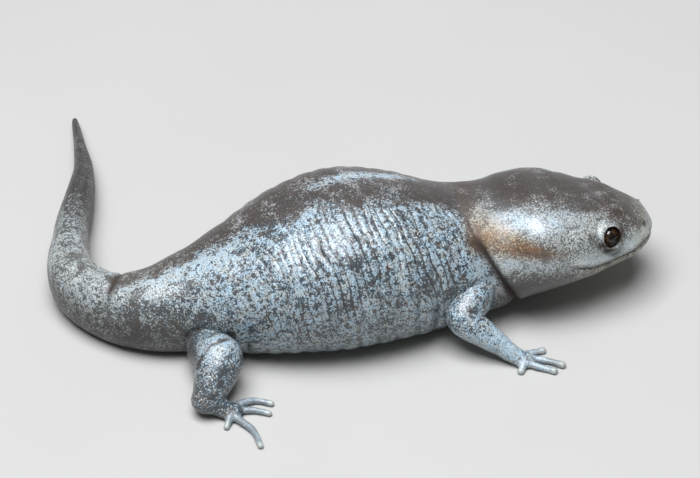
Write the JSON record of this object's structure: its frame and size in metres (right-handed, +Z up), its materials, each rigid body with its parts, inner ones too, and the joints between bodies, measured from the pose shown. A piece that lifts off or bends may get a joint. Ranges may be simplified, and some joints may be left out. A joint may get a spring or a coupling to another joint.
{
  "type": "mole salamander",
  "caption": "Life-size still model of a mole salamander lying on its belly, broad head lifted, legs spread and tail curled round to one side.",
  "frame": {"origin": "on the flat of the belly where it rests on the floor, under the middle of the trunk", "axes": "+X towards the head along the trunk, +Y to the animal's left, +Z up"},
  "size_m": [0.0638, 0.0531, 0.0161],
  "materials": {
    "skin": "moist amphibian skin, dark brown with silvery blue-grey flecks",
    "digit_skin": "moist grey skin with pale digit tips",
    "eye": "wet, near-black with coppery flecks"
  },
  "bodies": {
    "root": {"head": "skin", "lower_jaw": "skin", "neck": "skin", "torso_front": "skin", "torso_rear": "skin", "tail_base": "skin", "tail_middle": "skin", "tail_end": "skin", "upper_arm_right": "skin", "forearm_right": "skin", "hand_right": "digit_skin", "upper_arm_left": "skin", "forearm_left": "skin", "hand_left": "digit_skin", "thigh_right": "skin", "shank_right": "skin", "foot_right": "digit_skin", "thigh_left": "skin", "shank_left": "skin", "foot_left": "digit_skin", "eye_right": "eye", "eye_left": "eye"}
  },
  "joints": []
}
